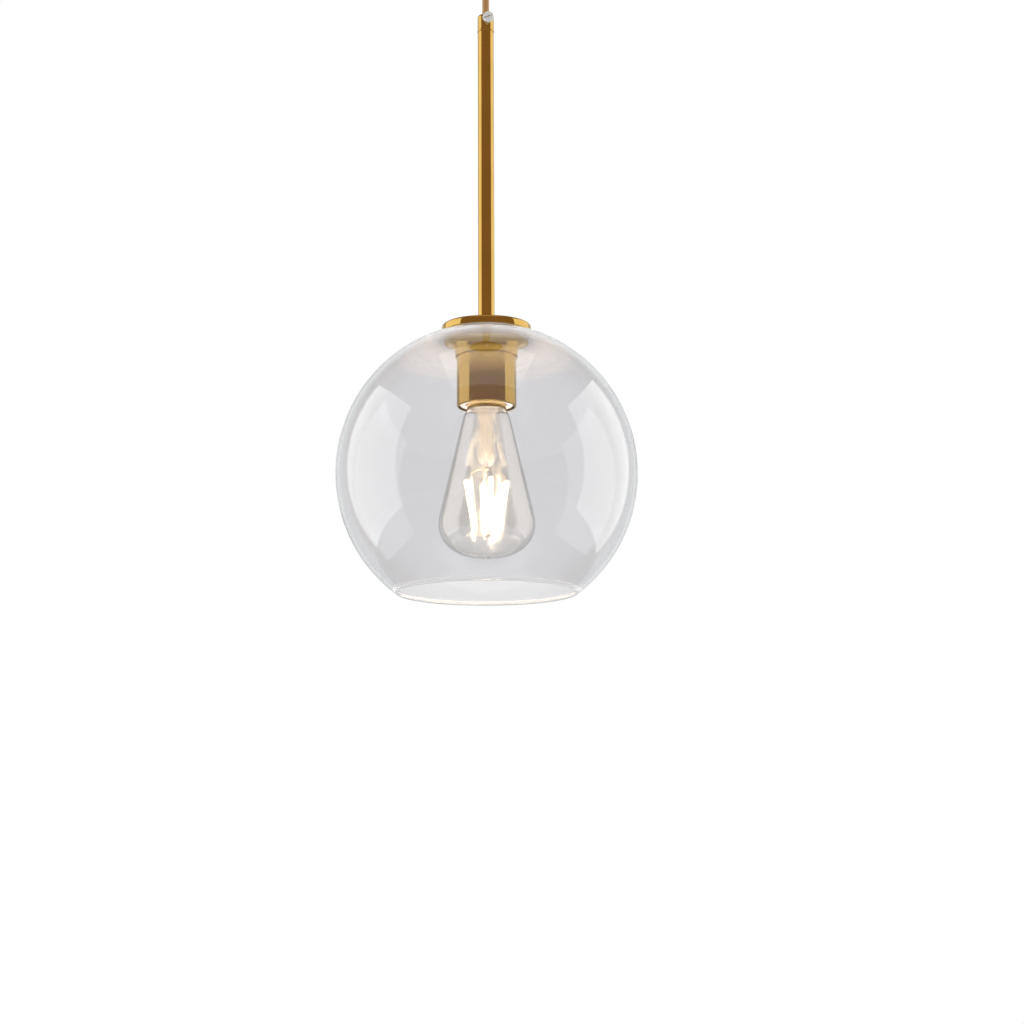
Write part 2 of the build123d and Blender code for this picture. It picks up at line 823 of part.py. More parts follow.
upper_hub = mount_foot - pinch_height - 1.0
lower_hub = foot_z - 4.0
for name, hub, radius, end_z, side in (
    ("filament_hanger", upper_hub, filament_head[0], head_z, 1),
    ("filament_foot", lower_hub, filament_foot[0], foot_z, -1),
):
    with BuildPart() as frame:
        disc(hub_radius, hub - 0.9, hub + 0.9)
        for turn in filament_turns:
            rod((0, 0, hub), spoke(turn, radius, end_z + side * (filament_radius + 0.4)), lead_radius)
    save(frame, name)
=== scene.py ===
"""Looks of the pendant ceiling light: turned brass, clear glass, a lit bulb and a pale studio."""

import json
import math

import bmesh
import bpy
from mathutils import Matrix, Vector


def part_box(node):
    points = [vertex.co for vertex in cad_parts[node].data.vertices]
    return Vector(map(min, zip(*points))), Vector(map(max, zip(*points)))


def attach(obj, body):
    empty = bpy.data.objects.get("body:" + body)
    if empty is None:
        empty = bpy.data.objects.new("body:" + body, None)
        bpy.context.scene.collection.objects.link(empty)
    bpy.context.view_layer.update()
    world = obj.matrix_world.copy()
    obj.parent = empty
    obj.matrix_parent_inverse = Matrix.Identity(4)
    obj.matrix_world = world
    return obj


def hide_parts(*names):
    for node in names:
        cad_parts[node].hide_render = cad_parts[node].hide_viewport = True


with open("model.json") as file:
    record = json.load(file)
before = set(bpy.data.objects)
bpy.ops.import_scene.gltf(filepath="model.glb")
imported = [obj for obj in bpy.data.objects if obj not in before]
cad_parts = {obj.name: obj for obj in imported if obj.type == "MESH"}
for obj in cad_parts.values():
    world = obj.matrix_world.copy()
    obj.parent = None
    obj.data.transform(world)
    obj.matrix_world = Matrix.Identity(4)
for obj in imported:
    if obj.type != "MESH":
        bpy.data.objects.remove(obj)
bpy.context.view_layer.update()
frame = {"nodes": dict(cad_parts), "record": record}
mm = 0.001

# -------------------------------------------------------- places, all from the frame
globe_low, globe_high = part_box("glass_globe")
globe_radius = globe_high[1]
globe_wall = 2.6 * mm
collar_z = globe_high[2]
collar_radius = 31.2 * mm
globe_centre = collar_z - math.sqrt(globe_radius**2 - collar_radius**2)
canopy_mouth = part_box("canopy_grip")[0][2]
stem_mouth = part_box("stem_grip")[1][2]

# -------------------------------------------------------- camera
camera_distance = 1500 * mm
camera_drop = 292 * mm  # below the globe's centre
camera_side = 16.6 * mm
camera_tilt = math.radians(10.06)
camera_roll = math.radians(-0.25)

camera_data = bpy.data.cameras.new("camera")
camera_data.lens = 81.1
camera_data.sensor_width = 36.0
camera_data.clip_start = 0.01
camera = bpy.data.objects.new("camera", camera_data)
camera.matrix_world = (
    Matrix.Translation((camera_side, -camera_distance, globe_centre - camera_drop))
    @ Matrix.Rotation(math.pi / 2 + camera_tilt, 4, "X")
    @ Matrix.Rotation(camera_roll, 4, "Z")
)
bpy.context.scene.collection.objects.link(camera)
bpy.context.scene.camera = camera


# -------------------------------------------------------- node helpers
def plug(tree, socket, value):
    """Sets an input to a value, or links another node's output to it."""
    if isinstance(value, bpy.types.NodeSocket):
        tree.links.new(value, socket)
    else:
        socket.default_value = value


def maths(tree, operation, first, second):
    """A Math node that compares or combines two values."""
    node = tree.nodes.new("ShaderNodeMath")
    node.operation = operation
    plug(tree, node.inputs[0], first)
    plug(tree, node.inputs[1], second)
    return node.outputs[0]


class Nodes:
    """A new node material with its Principled shader, and short ways to add texture to it."""

    def __init__(self, name, **settings):
        self.material = bpy.data.materials.new(name)
        self.material.use_nodes = True
        self.tree = self.material.node_tree
        self.shader = self.tree.nodes["Principled BSDF"]
        for socket, value in settings.items():
            self.shader.inputs[socket.replace("_", " ")].default_value = value
        self.place = self.tree.nodes.new("ShaderNodeTexCoord").outputs["Object"]

    def add(self, kind, **inputs):
        """A node of a kind, with its inputs set to values or linked to sockets."""
        node = self.tree.nodes.new(kind)
        for socket, value in inputs.items():
            plug(self.tree, node.inputs[socket.replace("_", " ")], value)
        return node

    def noise(self, scale, detail=4.0, stretch=(1, 1, 1), distortion=0.0):
        """Noise in metres, stretched along an axis."""
        mapping = self.add("ShaderNodeMapping", Vector=self.place, Scale=stretch)
        texture = self.add(
            "ShaderNodeTexNoise",
            Vector=mapping.outputs["Vector"],
            Scale=scale,
            Detail=detail,
            Distortion=distortion,
        )
        return texture.outputs["Fac"]

    def ramp(self, factor, *stops):
        """A colour ramp with (position, colour) stops."""
        node = self.add("ShaderNodeValToRGB", Fac=factor)
        elements = node.color_ramp.elements
        while len(elements) < len(stops):
            elements.new(0.5)
        for element, (position, colour) in zip(elements, stops):
            element.position = position
            element.color = (*colour, 1)
        return node.outputs["Color"]

    def spread(self, factor, low, high):
        """A factor from 0 to 1 mapped to a range."""
        node = self.add("ShaderNodeMapRange", Value=factor, To_Min=low, To_Max=high)
        return node.outputs["Result"]

    def link(self, socket, value):
        """Feeds one of the shader's inputs."""
        self.tree.links.new(value, self.shader.inputs[socket])

    def bump(self, height, strength, distance):
        """Raises the surface by a factor of a distance, in metres."""
        node = self.add("ShaderNodeBump", Height=height, Strength=strength, Distance=distance)
        self.link("Normal", node.outputs["Normal"])


# -------------------------------------------------------- materials
def polished_brass(name, light, dark, roughness):
    """Lacquered brass: faint tone changes, fine polishing lines and a few hazy spots."""
    brass = Nodes(name, Metallic=1.0)
    tone = brass.noise(28, 5.0)
    brass.link("Base Color", brass.ramp(tone, (0.3, dark), (0.7, light)))
    haze = brass.noise(90, 6.0)
    brass.link("Roughness", brass.spread(haze, roughness * 0.6, roughness * 1.6))
    lines = brass.noise(60, 6.0, stretch=(1, 1, 60))
    brass.bump(lines, 0.06, 0.02 * mm)
    return brass.material


def plated_steel(name):
    """Zinc-plated steel with a blotchy passivated skin."""
    steel = Nodes(name, Metallic=1.0)
    blotches = steel.noise(140, 7.0, distortion=0.4)
    colour = steel.ramp(blotches, (0.3, (0.42, 0.43, 0.45)), (0.7, (0.66, 0.67, 0.68)))
    steel.link("Base Color", colour)
    steel.link("Roughness", steel.spread(blotches, 0.22, 0.42))
    steel.bump(steel.noise(1500, 3.0), 0.12, 0.03 * mm)
    return steel.material


def moulded_plastic(name, light, dark, roughness, coat=0.0):
    """Moulded or extruded plastic: slight colour drift and a fine skin."""
    plastic = Nodes(name, Coat_Weight=coat, Coat_Roughness=0.08)
    plastic.link("Base Color", plastic.ramp(plastic.noise(120, 4.0), (0.3, dark), (0.7, light)))
    haze = plastic.noise(400, 4.0)
    plastic.link("Roughness", plastic.spread(haze, roughness * 0.8, roughness * 1.25))
    plastic.bump(plastic.noise(2200, 2.0), 0.1, 0.02 * mm)
    return plastic.material


def amber_sheath(name):
    """Amber cord sheath: glossy, with the twist of the cores just showing under it."""
    sheath = Nodes(name, Coat_Weight=0.35, Coat_Roughness=0.12)
    wave = sheath.add(
        "ShaderNodeTexWave", Vector=sheath.place, Scale=14.0, Distortion=1.5, Detail=2.0
    )
    wave.bands_direction = "DIAGONAL"
    twist = wave.outputs["Fac"]
    colour = sheath.ramp(twist, (0.0, (0.46, 0.24, 0.085)), (1.0, (0.60, 0.34, 0.13)))
    sheath.link("Base Color", colour)
    sheath.link("Roughness", sheath.spread(sheath.noise(500, 3.0), 0.28, 0.42))
    sheath.bump(twist, 0.15, 0.08 * mm)
    return sheath.material


def blown_glass(name, tint, waves, roughness, **settings):
    """Nodes of blown glass: slow waves in its thickness and a trace of haze."""
    glass = Nodes(name, Transmission_Weight=1.0, Coat_Roughness=0.02, **settings)
    paler = tuple(min(1.0, 1.015 * part) for part in tint)
    glass.link("Base Color", glass.ramp(glass.noise(9, 2.0), (0.3, tint), (0.7, paler)))
    glass.link("Roughness", glass.spread(glass.noise(35, 5.0), 0.0, roughness))
    glass.bump(glass.noise(22, 1.0), waves, 0.4 * mm)
    return glass


def bulb_glass(name):
    """Thin glass, with a higher index and a coat for the bulb's strong reflections."""
    return blown_glass(name, (0.995, 0.99, 0.98), 0.15, 0.2, IOR=1.7, Coat_Weight=1.0).material


def shade_glass(name, rim_z, neck_z):
    """The globe's glass, with a ground rim at its mouth and a milky fade under its collar."""
    glass = blown_glass(name, (0.825, 0.825, 0.84), 0.25, 0.012, IOR=1.5, Coat_Weight=0.0)
    level = glass.add("ShaderNodeSeparateXYZ", Vector=glass.place).outputs["Z"]

    def fade(start, end, first, last):
        """A value that goes from first to last between two levels."""
        node = glass.add(
            "ShaderNodeMapRange",
            Value=level,
            From_Min=start,
            From_Max=end,
            To_Min=first,
            To_Max=last,
        )
        return node.outputs["Result"]

    rim = fade(rim_z + 0.6 * mm, rim_z + 2.6 * mm, 0.8, 0.0)
    collar = fade(neck_z - 19 * mm, neck_z - 5 * mm, 0.0, 0.5)
    milk = maths(glass.tree, "MAXIMUM", rim, collar)
    glass.link("Transmission Weight", glass.spread(milk, 1.0, 0.0))
    return glass.material


def glazed_porcelain(name):
    """White glazed porcelain with faint specks and the glaze's soft ripple."""
    porcelain = Nodes(name, Coat_Weight=0.6, Coat_Roughness=0.05, Subsurface_Weight=0.1)
    specks = porcelain.noise(900, 2.0)
    colour = porcelain.ramp(specks, (0.28, (0.60, 0.55, 0.50)), (0.36, (0.86, 0.82, 0.79)))
    porcelain.link("Base Color", colour)
    porcelain.link("Roughness", porcelain.spread(porcelain.noise(60, 3.0), 0.16, 0.26))
    porcelain.bump(porcelain.noise(180, 2.0), 0.08, 0.1 * mm)
    return porcelain.material


def clear_polymer(name, dark, light, clearness):
    """Clear plastic or milky silicone: part of the light goes through, the rest scatters."""
    polymer = Nodes(name, Transmission_Weight=clearness, Coat_Weight=0.3)
    polymer.link("Base Color", polymer.ramp(polymer.noise(200, 3.0), (0.3, dark), (0.7, light)))
    polymer.link("Roughness", polymer.spread(polymer.noise(900, 3.0), 0.15, 0.35))
    polymer.bump(polymer.noise(700, 2.0), 0.1, 0.02 * mm)
    return polymer.material


def striped_core(name):
    """Green core with a yellow stripe that winds round it."""
    core = Nodes(name, Coat_Weight=0.2)
    wave = core.add("ShaderNodeTexWave", Vector=core.place, Scale=60.0, Distortion=0.6)
    stripe = wave.outputs["Fac"]
    colour = core.ramp(stripe, (0.52, (0.05, 0.28, 0.06)), (0.58, (0.80, 0.66, 0.05)))
    core.link("Base Color", colour)
    core.link("Roughness", core.spread(core.noise(300, 3.0), 0.3, 0.45))
    return core.material


def lit_filament(name):
    """Phosphor-coated strip, lit: brighter over each of the chips under the coating."""
    strip = Nodes(name, Emission_Color=(1.0, 0.83, 0.56, 1), Roughness=0.5)
    grains = strip.noise(700, 2.0)
    colour = strip.ramp(grains, (0.3, (0.86, 0.60, 0.24)), (0.7, (0.95, 0.74, 0.36)))
    strip.link("Base Color", colour)
    chips = strip.add("ShaderNodeTexWave", Vector=strip.place, Scale=190.0, Distortion=0.3)
    chips.bands_direction = "Z"
    strip.link("Emission Strength", strip.spread(chips.outputs["Fac"], 26.0, 38.0))
    return strip.material


def mount_with_painted_glow(name):
    """The bulb's inner glass mount, milky; its cream tone and its emission are painted glow,
    standing in for the filaments' light scattered in it.
    """
    mount = Nodes(name, Transmission_Weight=0.85, Emission_Color=(1.0, 0.86, 0.74, 1))
    cloud = mount.noise(160, 3.0)
    # Painted warm light: the cream tone stands in for the filaments' light in the clear glass.
    colour = mount.ramp(cloud, (0.3, (0.92, 0.84, 0.72)), (0.7, (0.98, 0.93, 0.85)))
    mount.link("Base Color", colour)
    mount.link("Roughness", mount.spread(cloud, 0.12, 0.3))
    # Painted glow: this emission stands in for the filaments' light that the mount scatters.
    mount.link("Emission Strength", mount.spread(cloud, 0.10, 0.24))
    return mount.material


recipes = {
    "polished_brass": (polished_brass, (0.63, 0.42, 0.125), (0.565, 0.37, 0.095), 0.06),
    "cap_brass": (polished_brass, (0.74, 0.54, 0.24), (0.66, 0.46, 0.18), 0.16),
    "terminal_brass": (polished_brass, (0.70, 0.52, 0.24), (0.58, 0.41, 0.17), 0.28),
    "solder": (polished_brass, (0.66, 0.66, 0.68), (0.52, 0.52, 0.55), 0.35),
    "filament_wire": (polished_brass, (0.66, 0.62, 0.56), (0.54, 0.50, 0.45), 0.25),
    "zinc_steel": (plated_steel,),
    "clear_plastic": (clear_polymer, (0.90, 0.89, 0.89), (0.98, 0.97, 0.97), 0.3),
    "white_plastic": (moulded_plastic, (0.86, 0.86, 0.84), (0.78, 0.78, 0.76), 0.4),
    "live_core": (moulded_plastic, (0.17, 0.065, 0.025), (0.12, 0.045, 0.018), 0.35, 0.2),
    "neutral_core": (moulded_plastic, (0.03, 0.14, 0.55), (0.02, 0.10, 0.42), 0.35, 0.2),
    "black_insulator": (
        moulded_plastic,
        (0.015, 0.015, 0.018),
        (0.006, 0.006, 0.008),
        0.15,
        0.5,
    ),
    "earth_core": (striped_core,),
    "amber_sheath": (amber_sheath,),
    "silicone": (clear_polymer, (0.84, 0.85, 0.85), (0.92, 0.93, 0.93), 0.2),
    "clear_glass": (shade_glass, globe_low[2], globe_high[2]),
    "bulb_glass": (bulb_glass,),
    "porcelain": (glazed_porcelain,),
    "lit_filament": (lit_filament,),
    "filament_glass": (mount_with_painted_glow,),
}
materials = {name: make(name, *values) for name, (make, *values) in recipes.items()}
slot_of = {part["node"]: part["material_slot"] for part in frame["record"]["subparts"]}
body_nodes = frame["record"]["behaviour"]["bodies"]
body_of = {node: body for body, nodes in body_nodes.items() for node in nodes}


# -------------------------------------------------------- mesh helpers
def rounded(*corners, steps=5):
    """A closed outline of (radius, z, rounding) corners, each rounding drawn as an arc."""
    points = []
    for i, (x, z, rounding) in enumerate(corners):
        corner = Vector((x, z))
        if rounding == 0:
            points.append(corner)
            continue
        back = (Vector(corners[i - 1][:2]) - corner).normalized()
        ahead = (Vector(corners[(i + 1) % len(corners)][:2]) - corner).normalized()
        half = back.angle(ahead) / 2
        centre = corner + (back + ahead).normalized() * rounding / math.sin(half)
        first = corner + back * rounding / math.tan(half) - centre
        last = corner + ahead * rounding / math.tan(half) - centre
        turn = math.atan2(first.x * last.y - first.y * last.x, first.dot(last))
        for k in range(steps + 1):
            step = Matrix.Rotation(turn * k / steps, 2)
            points.append(centre + step @ first)
    return [(p.x, p.y) for p in points]


def arc(radius, start, end, steps, centre=(0.0, 0.0)):
    """Points on a circle, from one angle to another."""
    angles = [start + (end - start) * k / steps for k in range(steps + 1)]
    return [(centre[0] + radius * math.cos(a), centre[1] + radius * math.sin(a)) for a in angles]


def column(radius, start, end, step):
    """Points along an upright side, close enough together to carry a thread."""
    count = max(1, round(abs(end - start) / step))
    return [(radius, start + (end - start) * k / count) for k in range(count + 1)]


def sweep(start, end, leave, arrive, steps=16):
    """Points on a smooth curve; its ways to leave and arrive are multiples of the distance."""
    first, last = Vector(start), Vector(end)
    reach = (last - first).length
    out, into = Vector(leave) * reach, Vector(arrive) * reach
    points = []
    for k in range(steps + 1):
        t = k / steps
        spot = first * (2 * t**3 - 3 * t**2 + 1) + last * (3 * t**2 - 2 * t**3)
        spot += out * (t**3 - 2 * t**2 + t) + into * (t**3 - t**2)
        points.append(tuple(spot))
    return points


def inset(points, depth):
    """An open outline moved sideways, to the left of its direction."""
    moved = []
    for i, point in enumerate(points):
        before, after = points[max(i - 1, 0)], points[min(i + 1, len(points) - 1)]
        run = (Vector(after) - Vector(before)).normalized()
        moved.append((point[0] - run.y * depth, point[1] + run.x * depth))
    return moved


def thread(pitch, depth, low, high, least):
    """A right-handed thread between two levels: gives its depth at a radius, turn and level."""

    def groove(radius, turn, z):
        if radius < least:
            return 0.0
        fade = min(1.0, max(0.0, 2 * (z - low) / pitch), max(0.0, 2 * (high - z) / pitch))
        return depth * fade * (0.5 - 0.5 * math.cos(2 * math.pi * z / pitch - turn))

    return groove


def below(level, groove):
    """The part of a groove that lies under a level."""
    return lambda radius, turn, z: groove(radius, turn, z) if z < level else 0.0


def solid(name, points, faces, smooth=35):
    """An object from points and faces in the shared frame, smooth up to an angle in degrees."""
    mesh = bpy.data.meshes.new(name)
    mesh.from_pydata(points, [], faces)
    mesh.validate()
    mesh.shade_smooth()
    mesh.set_sharp_from_angle(angle=math.radians(smooth))
    made = bpy.data.objects.new(name, mesh)
    bpy.context.scene.collection.objects.link(made)
    return made


def weld(piece, smooth=35):
    """Joins points that lie on the axis, turns all faces outwards and marks the sharp edges."""
    work = bmesh.new()
    work.from_mesh(piece.data)
    bmesh.ops.remove_doubles(work, verts=work.verts, dist=1e-7)
    bmesh.ops.dissolve_degenerate(work, edges=work.edges, dist=1e-8)
    bmesh.ops.recalc_face_normals(work, faces=work.faces)
    work.to_mesh(piece.data)
    work.free()
    piece.data.shade_smooth()
    piece.data.set_sharp_from_angle(angle=math.radians(smooth))


def lathe(name, outline, segments=128, smooth=35, groove=None):
    """A closed outline of (radius, z) points turned about the Z axis, threaded by a groove."""
    count = len(outline)
    points = []
    for i in range(segments):
        turn = 2 * math.pi * i / segments
        for radius, z in outline:
            spot = radius - groove(radius, turn, z) if groove else radius
            points.append((spot * math.cos(turn), spot * math.sin(turn), z))
    faces = []
    for i in range(segments):
        after = (i + 1) % segments
        for k in range(count):
            near = (k + 1) % count
            faces.append((i * count + k, after * count + k, after * count + near, i * count + near))
    made = solid(name, points, faces, smooth)
    weld(made, smooth)
    return made


def prism(name, outline, low, high):
    """A closed (x, y) outline raised between two levels."""
    count = len(outline)
    points = [(x, y, z) for z in (low, high) for x, y in outline]
    sides = [(k, (k + 1) % count, count + (k + 1) % count, count + k) for k in range(count)]
    made = solid(name, points, [tuple(range(count)), tuple(range(count, 2 * count)), *sides])
    weld(made)
    return made


def aim(piece, start, direction, spin=0.0):
    """Lays a piece that was made along +Z so that it starts at a point and runs in a direction."""
    turn = Vector((0, 0, 1)).rotation_difference(Vector(direction)).to_matrix().to_4x4()
    piece.data.transform(Matrix.Translation(start) @ turn @ Matrix.Rotation(spin, 4, "Z"))
    return piece


def rod(start, direction, radius, length, segments=40):
    """A round bar, used to cut holes."""
    outline = [(0, 0), (radius, 0), (radius, length), (0, length)]
    return aim(lathe("bar", outline, segments), start, direction)


def baked(piece):
    """The mesh of a piece with its modifiers applied, or of a curve."""
    depsgraph = bpy.context.evaluated_depsgraph_get()
    return bpy.data.meshes.new_from_object(piece.evaluated_get(depsgraph))


def carve(piece, *tools, keep="DIFFERENCE"):
    """Cuts a piece with tools, or keeps what they share, and removes the tools."""
    for tool in tools:
        cut = piece.modifiers.new("cut", "BOOLEAN")
        cut.operation = keep
        cut.solver = "EXACT"
        cut.object = tool
    shape = baked(piece)
    piece.modifiers.clear()
    piece.data = shape
    for tool in tools:
        bpy.data.objects.remove(tool)
    weld(piece)
    return piece


def join(name, pieces):
    """Several pieces as one object."""
    work = bmesh.new()
    for piece in pieces:
        work.from_mesh(piece.data)
        bpy.data.objects.remove(piece)
    mesh = bpy.data.meshes.new(name)
    work.to_mesh(mesh)
    work.free()
    made = bpy.data.objects.new(name, mesh)
    bpy.context.scene.collection.objects.link(made)
    return made


def tube(name, route, radius, resolution=10):
    """A round wire on a smooth curve through chosen points."""
    curve = bpy.data.curves.new(name, "CURVE")
    curve.dimensions = "3D"
    spline = curve.splines.new("NURBS")
    spline.points.add(len(route) - 1)
    for point, spot in zip(spline.points, route):
        point.co = (*spot, 1)
    spline.order_u = 3
    spline.use_endpoint_u = True
    curve.resolution_u = resolution
    curve.bevel_depth = radius
    curve.bevel_resolution = 6
    curve.use_fill_caps = True
    made = bpy.data.objects.new(name, curve)
    bpy.context.scene.collection.objects.link(made)
    return made


def as_mesh(piece):
    """A curve piece turned into a mesh piece."""
    made = bpy.data.objects.new(piece.name, baked(piece))
    bpy.context.scene.collection.objects.link(made)
    bpy.data.objects.remove(piece)
    return made


def box_outline(low_x, low_y, high_x, high_y):
    """An oblong outline between two corners."""
    return [(low_x, low_y), (high_x, low_y), (high_x, high_y), (low_x, high_y)]


def slotted_screw(head_radius, head_height, shank_radius, shank_length, dome=0.35):
    """A screw along +Z: its slotted head stands on z = 0 and its threaded shank hangs below."""
    pitch = 0.35 * shank_radius
    taper = 0.3 * shank_radius
    outline = [
        *rounded(
            (0, head_height, 0),
            (head_radius, head_height, dome * head_height),
            (head_radius, 0, 0.06 * head_height),
            (shank_radius, 0, 0),
        ),
        *column(shank_radius, -0.02 * mm, taper - shank_length, pitch / 5),
        (shank_radius - taper, -shank_length),
        (0, -shank_length),
    ]
    groove = thread(pitch, 0.6 * pitch, taper - shank_length, -0.5 * pitch, 0.95 * shank_radius)
    bolt = lathe("bolt", outline, 48, groove=below(0, groove))
    half = 0.13 * head_radius
    wide = 1.2 * head_radius
    sides = box_outline(-wide, -half, wide, half)
    return carve(bolt, prism("slot", sides, 0.5 * head_height, 1.5 * head_height))


def stand_for(piece, node, finish=None):
    """A piece takes a node's place: its body, its slot and its finish."""
    slot = slot_of[node]
    piece.data.materials.clear()
    piece.data.materials.append(materials[finish or slot])
    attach(piece, body_of[node])
    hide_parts(node)
    return piece


def fasten(name, node, places, **shape):
    """One screw on each (seat, direction), its slot turned a little further each time."""
    slot_turn = 1.1
    bolts = [
        aim(slotted_screw(**shape), seat, way, slot_turn * (i + 0.6))
        for i, (seat, way) in enumerate(places)
    ]
    return stand_for(join(name, bolts), node)


# -------------------------------------------------------- cord
cord_radius = 2.35 * mm
end_gap = 0.3 * mm
cord_route = [
    (0, 0, canopy_mouth - end_gap),
    (0, 0, canopy_mouth - 20 * mm),
    (0, 0, stem_mouth + 20 * mm),
    (0, 0, stem_mouth + end_gap),
]
cord = tube("cord_run", cord_route, cord_radius)
stand_for(cord, "cord")

# -------------------------------------------------------- stem, cap, cup and ring
down, up = (0, 0, -1), (0, 0, 1)
stem_low, stem_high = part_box("stem")
stem_radius = stem_high[0]
stem_wall = 0.75 * mm
stand_for(
    lathe(
        "stem_tube",
        rounded(
            (stem_radius, stem_low[2], 0.25 * mm),
            (stem_radius, stem_high[2], 0.25 * mm),
            (stem_radius - stem_wall, stem_high[2], 0),
            (stem_radius - stem_wall, stem_low[2], 0),
        ),
    ),
    "stem",
)

cap_low, cap_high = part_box("top_cap")
cap_radius = cap_high[0]
sheet = 1.0 * mm
pipe_radius = 4.7 * mm  # crest of the M10x1 thread
pipe_hole = pipe_radius + 0.05 * mm
stand_for(
    lathe(
        "cap_disc",
        rounded(
            (pipe_hole, cap_high[2], 0),
            (cap_radius, cap_high[2], 1.7 * mm),
            (cap_radius, cap_low[2], 0.3 * mm),
            (cap_radius - sheet, cap_low[2], 0.2 * mm),
            (cap_radius - sheet, cap_high[2] - sheet, 0.7 * mm),
            (pipe_hole, cap_high[2] - sheet, 0),
        ),
        segments=160,
    ),
    "top_cap",
)

cup_low, cup_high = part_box("socket_cup")
cup_radius = cup_high[0]
cup_wall = 0.8 * mm
cup_lip = 1.2 * mm
stand_for(
    lathe(
        "cup_shell",
        rounded(
            (pipe_hole, cup_high[2], 0),
            (cup_radius, cup_high[2], 1.0 * mm),
            (cup_radius, cup_low[2] + 0.9 * mm, 1.0 * mm),
            (cup_radius - 0.9 * mm, cup_low[2], 0.5 * mm),
            (cup_radius - cup_lip - 0.4 * mm, cup_low[2] + 0.25 * mm, 0.2 * mm),
            (cup_radius - cup_wall, cup_low[2] + 1.6 * mm, 0.6 * mm),
            (cup_radius - cup_wall, cup_high[2] - cup_wall, 0.4 * mm),
            (pipe_hole, cup_high[2] - cup_wall, 0),
        ),
        segments=160,
    ),
    "socket_cup",
)

ring_low, ring_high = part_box("shade_ring")
ring_radius = ring_high[0]
ring_bore = cup_radius + 0.05 * mm
ring_lip = ring_bore + 0.95 * mm
ring_edge = 1.2 * mm
lip_height = 0.4 * mm
edge_round = 0.3 * mm
flare_steps = 24
flare = []
for step in range(flare_steps + 1):
    rise = step / flare_steps * math.pi / 2
    out = (ring_radius - ring_lip) * (1 - math.cos(rise)) ** 1.15
    height = (ring_high[2] - ring_edge - ring_low[2] - lip_height) * math.sin(rise)
    flare.append((ring_lip + out, ring_low[2] + lip_height + height))
ring_outline = [
    (ring_bore, ring_low[2]),
    (ring_lip - edge_round, ring_low[2]),
    *flare,
    (ring_radius, ring_high[2] - edge_round),
    (ring_radius - edge_round, ring_high[2]),
    (ring_bore, ring_high[2]),
]
stand_for(lathe("flared_ring", ring_outline, segments=160), "shade_ring")

gasket_bore = cup_radius + 2.5 * mm
gasket_round = 0.25 * mm
seat_gap = 0.06 * mm
for name, node in (("gasket_over", "upper_gasket"), ("gasket_under", "lower_gasket")):
    low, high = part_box(node)
    outline = rounded(
        (gasket_bore, low[2] + seat_gap, gasket_round),
        (high[0], low[2] + seat_gap, gasket_round),
        (high[0], high[2] - seat_gap, gasket_round),
        (gasket_bore, high[2] - seat_gap, gasket_round),
    )
    stand_for(lathe(name, outline), node)

# -------------------------------------------------------- glass globe
inner_globe = globe_radius - globe_wall
collar_thick = 3.0 * mm
mouth_radius = 60 * mm
mouth_turn = math.asin(mouth_radius / globe_radius)
collar_turn = math.asin(collar_radius / globe_radius)
collar_inner = math.sqrt(inner_globe**2 - (collar_z - collar_thick - globe_centre) ** 2)
inner_turn = math.asin(collar_inner / inner_globe)
hole_radius = cup_radius + 2.0 * mm
straight_down = -math.pi / 2
middle = (0.0, globe_centre)
rim_radius = globe_wall / 2
rim_reach = globe_radius - rim_radius
rim_centre = (rim_reach * math.sin(mouth_turn), globe_centre - rim_reach * math.cos(mouth_turn))
mouth_start = straight_down + mouth_turn
globe_steps = 110
globe_outline = [
    *rounded(
        (hole_radius, collar_z - collar_thick, 0.5 * mm),
        (hole_radius, collar_z, 0.5 * mm),
        (collar_radius, collar_z, 0),
    )[:-1],
    *arc(globe_radius, math.pi / 2 - collar_turn, mouth_start, globe_steps, middle),
    *arc(rim_radius, mouth_start, mouth_start - math.pi, 12, rim_centre)[1:-1],
    *arc(inner_globe, mouth_start, math.pi / 2 - inner_turn, globe_steps, middle),
]
globe = stand_for(lathe("globe_shade", globe_outline, segments=256, smooth=30), "glass_globe")
globe.visible_shadow = False  # light passes clear glass

